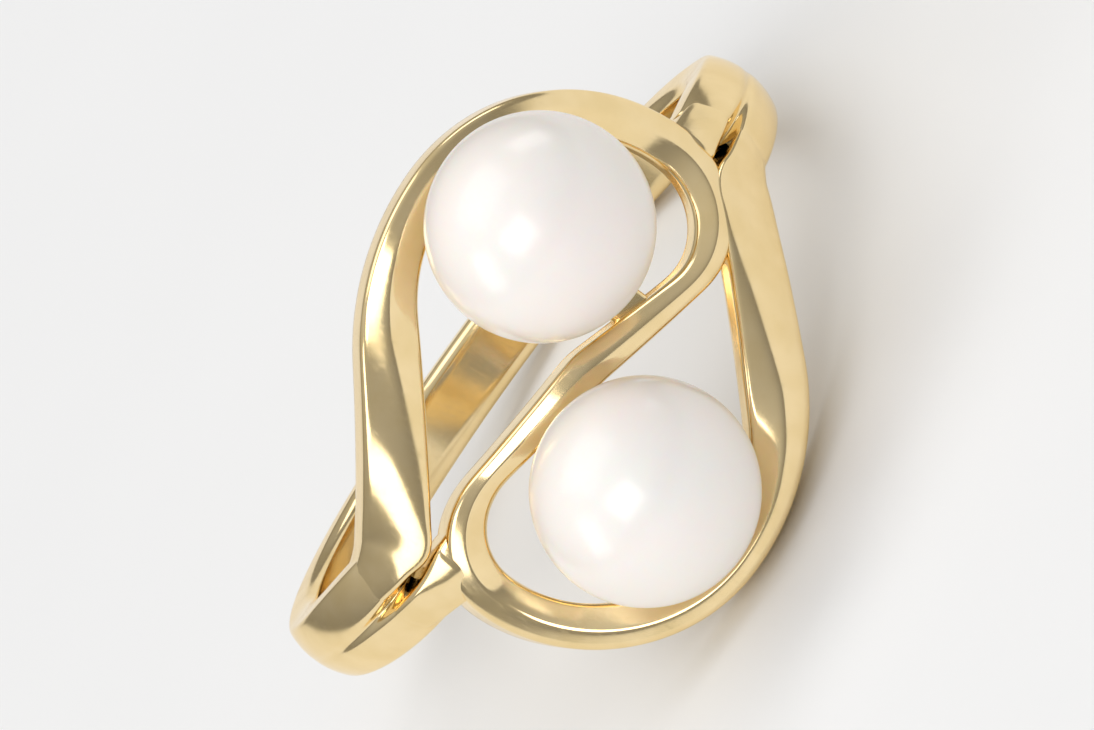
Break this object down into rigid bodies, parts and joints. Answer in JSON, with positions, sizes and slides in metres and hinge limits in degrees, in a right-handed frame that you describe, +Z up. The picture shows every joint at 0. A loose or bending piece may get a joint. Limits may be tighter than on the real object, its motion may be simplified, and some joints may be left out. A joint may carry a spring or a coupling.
{
  "type": "pearl ring",
  "caption": "Yellow gold finger ring with white pearls on posts inside an open S-shaped ribbon scroll that flows into a tapering domed band.",
  "frame": {"origin": "middle of the box round the resting ring, on the surface that it lies on", "axes": "+Z up from the surface with the ring lying on its fingertip side, the pearls face -Y, +X to the right as seen from the pearls"},
  "size_m": [0.019, 0.0244, 0.0131],
  "materials": {
    "gold": "polished yellow gold",
    "pearl": "white nacre with a soft lustre"
  },
  "bodies": {
    "root": {"scroll_mount": "gold", "pearl_upper": "pearl", "pearl_lower": "pearl"}
  },
  "joints": []
}
